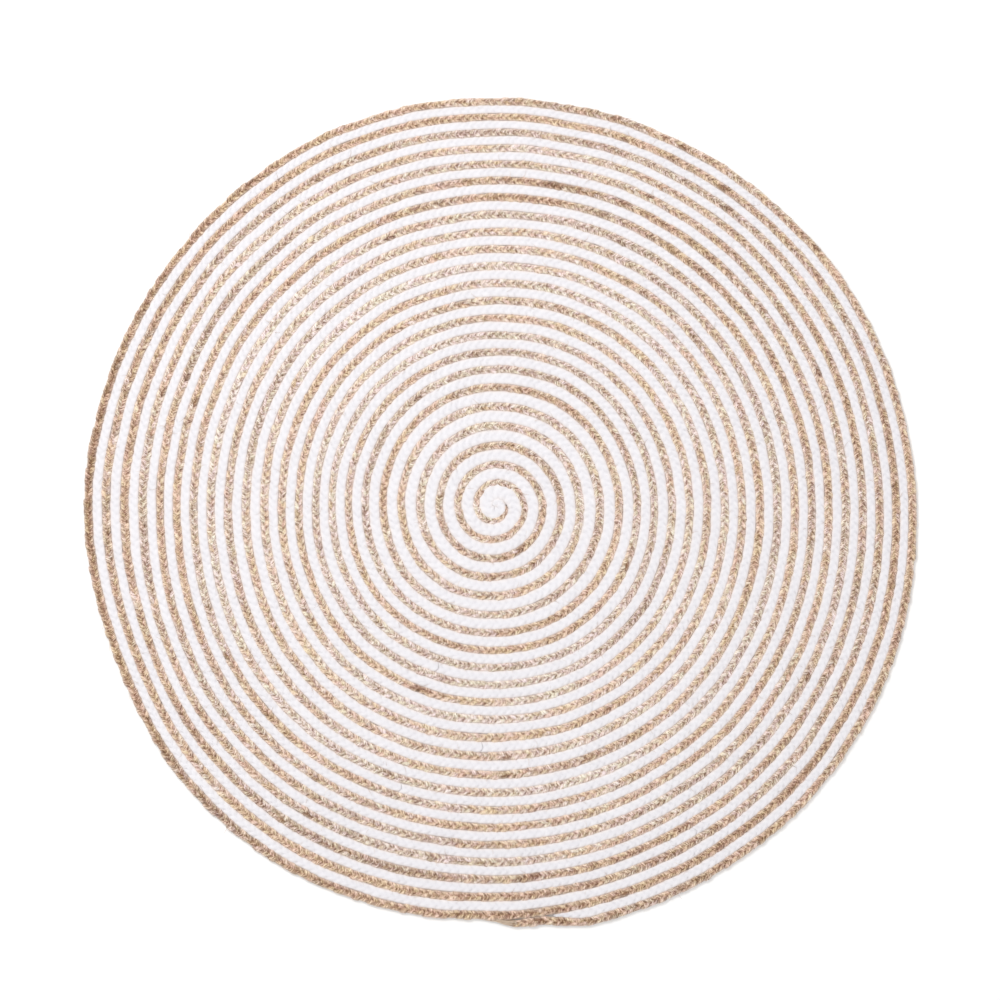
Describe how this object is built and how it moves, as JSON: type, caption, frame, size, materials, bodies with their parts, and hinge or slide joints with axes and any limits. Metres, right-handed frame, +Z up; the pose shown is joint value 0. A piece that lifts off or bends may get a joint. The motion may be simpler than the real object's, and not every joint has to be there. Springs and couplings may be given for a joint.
{
  "type": "round jute rug",
  "caption": "Flat round rug of a jute braid and a white cotton braid wound side by side into one spiral.",
  "frame": {"origin": "on the floor under the middle of the rug's box", "axes": "+Z is up, out of the rug's face; the two braids end at the rug's -Y edge and wind outwards clockwise seen from above"},
  "size_m": [1.502, 1.4928, 0.009],
  "materials": {
    "jute": "natural jute fibre, plaited, dull with a faint straw sheen, pale sand with browner stretches",
    "cotton": "soft white cotton, plaited, matt"
  },
  "bodies": {
    "root": {"jute_braid": "jute", "cotton_braid": "cotton"}
  },
  "joints": []
}
